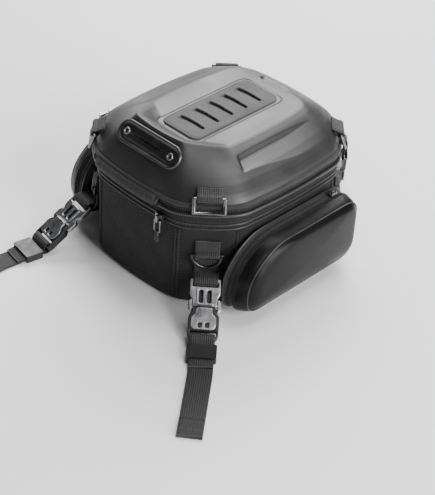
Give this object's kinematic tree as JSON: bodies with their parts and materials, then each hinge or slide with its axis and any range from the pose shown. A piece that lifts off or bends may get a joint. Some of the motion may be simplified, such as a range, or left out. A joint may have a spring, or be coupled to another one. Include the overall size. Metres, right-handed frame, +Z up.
{
  "type": "motorcycle tail bag",
  "caption": "Soft-sided luggage bag with a hinged moulded lid, zipped side pockets, metal rings and corner straps with side-release buckles.",
  "frame": {"origin": "centre of the flat base, on the surface the bag stands on", "axes": "+Z up; -Y towards the front, with the lid hinge and badge; +X towards the right side pocket"},
  "size_m": [0.361, 0.5814, 0.17],
  "materials": {
    "ballistic": "matt woven nylon",
    "eva": "satin moulded foam shell",
    "panel": "fine grained",
    "badge": "satin",
    "steel": "brushed",
    "alloy": "satin",
    "webbing": "ribbed webbing",
    "plastic": "moulded",
    "binding": "grosgrain",
    "zip_tape": "coil zip",
    "label": "woven label"
  },
  "bodies": {
    "bag_body": {"base_panel": "ballistic", "tub_wall": "ballistic", "expansion_zip": "zip_tape", "upper_band": "ballistic", "piping_band": "binding", "main_zip_lower": "zip_tape", "hinge_band": "binding", "side_label": "label", "pocket_backs": "ballistic", "pocket_gussets": "zip_tape", "d_ring_tabs": "webbing", "strap_patches": "webbing"},
    "lid": {"lid_shell": "eva", "lid_binding": "binding", "main_zip_upper": "zip_tape", "grip_panel": "panel", "badge_plate": "badge", "badge_rivets": "steel", "lid_ring_tabs": "webbing"},
    "pocket_front_right": {"pocket_shell_right": "eva"},
    "pocket_front_left": {"pocket_shell_left": "eva"},
    "pocket_zip_right": {"pocket_slider_right": "steel"},
    "pocket_zip_left": {"pocket_slider_left": "steel"},
    "expansion_zip_slider": {"expansion_slider": "steel"},
    "expansion_zip_pull": {"expansion_pull": "steel"},
    "main_zip_slider_front": {"main_slider_front": "steel"},
    "main_zip_pull_front": {"main_pull_front": "steel"},
    "main_zip_slider_back": {"main_slider_back": "steel"},
    "main_zip_pull_back": {"main_pull_back": "steel"},
    "lid_ring_body_front_right": {"lid_ring_front_right": "steel"},
    "d_ring_body_front_right": {"d_ring_front_right": "steel"},
    "lid_ring_body_front_left": {"lid_ring_front_left": "steel"},
    "d_ring_body_front_left": {"d_ring_front_left": "steel"},
    "lid_ring_body_back_right": {"lid_ring_back_right": "steel"},
    "d_ring_body_back_right": {"d_ring_back_right": "steel"},
    "lid_ring_body_back_left": {"lid_ring_back_left": "steel"},
    "d_ring_body_back_left": {"d_ring_back_left": "steel"},
    "strap_front_right": {"strap_head_front_right": "webbing", "buckle_male_front_right": "alloy", "buckle_female_front_right": "plastic", "keeper_front_right": "plastic", "strap_tail_front_right": "webbing"},
    "strap_front_left": {"strap_head_front_left": "webbing", "buckle_male_front_left": "alloy", "buckle_female_front_left": "plastic", "keeper_front_left": "plastic", "strap_tail_front_left": "webbing"},
    "strap_back_right": {"strap_head_back_right": "webbing", "buckle_male_back_right": "alloy", "buckle_female_back_right": "plastic", "keeper_back_right": "plastic", "strap_tail_back_right": "webbing"},
    "strap_back_left": {"strap_head_back_left": "webbing", "buckle_male_back_left": "alloy", "buckle_female_back_left": "plastic", "keeper_back_left": "plastic", "strap_tail_back_left": "webbing"},
    "hook_strap_body": {"hook_strap_back_right": "webbing"},
    "snap_hook_body": {"snap_hook_back_right": "steel"},
    "hook_gate_body": {"hook_gate_back_right": "steel"}
  },
  "joints": [
    {"name": "lid_hinge", "type": "hinge", "parent": "bag_body", "child": "lid", "pos_m": [0, -0.1278, 0.1222], "axis": [1, 0, 0], "range_deg": [0, 100]},
    {"name": "pocket_hinge_right", "type": "hinge", "parent": "bag_body", "child": "pocket_front_right", "pos_m": [0.1202, 0, 0.009], "axis": [0, 1, 0], "range_deg": [0, 50]},
    {"name": "pocket_hinge_left", "type": "hinge", "parent": "bag_body", "child": "pocket_front_left", "pos_m": [-0.1202, 0, 0.009], "axis": [0, -1, 0], "range_deg": [0, 50]},
    {"name": "pocket_zip_slide_right", "type": "slide", "parent": "bag_body", "child": "pocket_zip_right", "axis": [0, 1, 0], "range_m": [-0.125, 0.004]},
    {"name": "pocket_zip_slide_left", "type": "slide", "parent": "bag_body", "child": "pocket_zip_left", "axis": [0, 1, 0], "range_m": [-0.088, 0.004]},
    {"name": "expansion_zip_slide", "type": "slide", "parent": "bag_body", "child": "expansion_zip_slider", "axis": [1, 0, 0], "range_m": [-0.085, 0.01]},
    {"name": "expansion_pull_swing", "type": "hinge", "parent": "expansion_zip_slider", "child": "expansion_zip_pull", "pos_m": [0.038, -0.1266, 0.097], "axis": [-1, 0, 0], "range_deg": [0, 150]},
    {"name": "main_zip_slide_front", "type": "slide", "parent": "bag_body", "child": "main_zip_slider_front", "axis": [0, 1, 0], "range_m": [0, 0.11]},
    {"name": "main_pull_swing_front", "type": "hinge", "parent": "main_zip_slider_front", "child": "main_zip_pull_front", "pos_m": [-0.1142, -0.066, 0.118], "axis": [0, 1, 0], "range_deg": [0, 150]},
    {"name": "main_zip_slide_back", "type": "slide", "parent": "bag_body", "child": "main_zip_slider_back", "axis": [0, 1, 0], "range_m": [0, 0.11]},
    {"name": "main_pull_swing_back", "type": "hinge", "parent": "main_zip_slider_back", "child": "main_zip_pull_back", "pos_m": [-0.1142, -0.053, 0.118], "axis": [0, 1, 0], "range_deg": [0, 150]},
    {"name": "lid_ring_swing_front_right", "type": "hinge", "parent": "lid", "child": "lid_ring_body_front_right", "pos_m": [0.08368, -0.10118, 0.1345], "axis": [-0.7071, -0.7071, 0], "range_deg": [0, 140]},
    {"name": "d_ring_swing_front_right", "type": "hinge", "parent": "bag_body", "child": "d_ring_body_front_right", "pos_m": [0.08423, -0.10073, 0.066], "axis": [-0.7071, -0.7071, 0], "range_deg": [0, 150]},
    {"name": "lid_ring_swing_front_left", "type": "hinge", "parent": "lid", "child": "lid_ring_body_front_left", "pos_m": [-0.08368, -0.10118, 0.1345], "axis": [-0.7071, 0.7071, 0], "range_deg": [0, 140]},
    {"name": "d_ring_swing_front_left", "type": "hinge", "parent": "bag_body", "child": "d_ring_body_front_left", "pos_m": [-0.08423, -0.10073, 0.066], "axis": [-0.7071, 0.7071, 0], "range_deg": [0, 150]},
    {"name": "lid_ring_swing_back_right", "type": "hinge", "parent": "lid", "child": "lid_ring_body_back_right", "pos_m": [0.08368, 0.09068, 0.1345], "axis": [0.7071, -0.7071, 0], "range_deg": [0, 140]},
    {"name": "d_ring_swing_back_right", "type": "hinge", "parent": "bag_body", "child": "d_ring_body_back_right", "pos_m": [0.08423, 0.09323, 0.066], "axis": [0.7071, -0.7071, 0], "range_deg": [0, 110]},
    {"name": "lid_ring_swing_back_left", "type": "hinge", "parent": "lid", "child": "lid_ring_body_back_left", "pos_m": [-0.08368, 0.09068, 0.1345], "axis": [0.7071, 0.7071, 0], "range_deg": [0, 140]},
    {"name": "d_ring_swing_back_left", "type": "hinge", "parent": "bag_body", "child": "d_ring_body_back_left", "pos_m": [-0.08423, 0.09323, 0.066], "axis": [0.7071, 0.7071, 0], "range_deg": [0, 150]},
    {"name": "strap_lift_front_right", "type": "hinge", "parent": "bag_body", "child": "strap_front_right", "pos_m": [0.08324, -0.09974, 0.043], "axis": [-0.7314, -0.682, 0], "range_deg": [0, 36]},
    {"name": "strap_lift_front_left", "type": "hinge", "parent": "bag_body", "child": "strap_front_left", "pos_m": [-0.08324, -0.09974, 0.043], "axis": [-0.9848, 0.1736, 0], "range_deg": [0, 18]},
    {"name": "strap_lift_back_right", "type": "hinge", "parent": "bag_body", "child": "strap_back_right", "pos_m": [0.04626, 0.11371, 0.043], "axis": [0.766, 0.6428, 0], "range_deg": [0, 36]},
    {"name": "strap_lift_back_left", "type": "hinge", "parent": "bag_body", "child": "strap_back_left", "pos_m": [-0.04626, 0.11371, 0.043], "axis": [0.9272, 0.3746, 0], "range_deg": [0, 30]},
    {"name": "hook_strap_swing", "type": "hinge", "parent": "lid_ring_body_back_right", "child": "hook_strap_body", "pos_m": [0.08717, 0.09416, 0.12097], "axis": [0.7071, -0.7071, 0], "range_deg": [0, 60]},
    {"name": "snap_hook_swing", "type": "hinge", "parent": "hook_strap_body", "child": "snap_hook_body", "pos_m": [0.08865, 0.09565, 0.10247], "axis": [0.7071, -0.7071, 0], "range_deg": [0, 60]},
    {"name": "hook_gate_swing", "type": "hinge", "parent": "snap_hook_body", "child": "hook_gate_body", "pos_m": [0.09356, 0.09073, 0.08507], "axis": [0.7071, 0.7071, 0], "range_deg": [0, 24], "stiffness_Nm_per_rad": 0.002, "springref_deg": -17.19}
  ],
  "couplings": [
    {"joint": "main_zip_slide_front", "follows": "main_zip_slide_back", "ratio": 1}
  ]
}
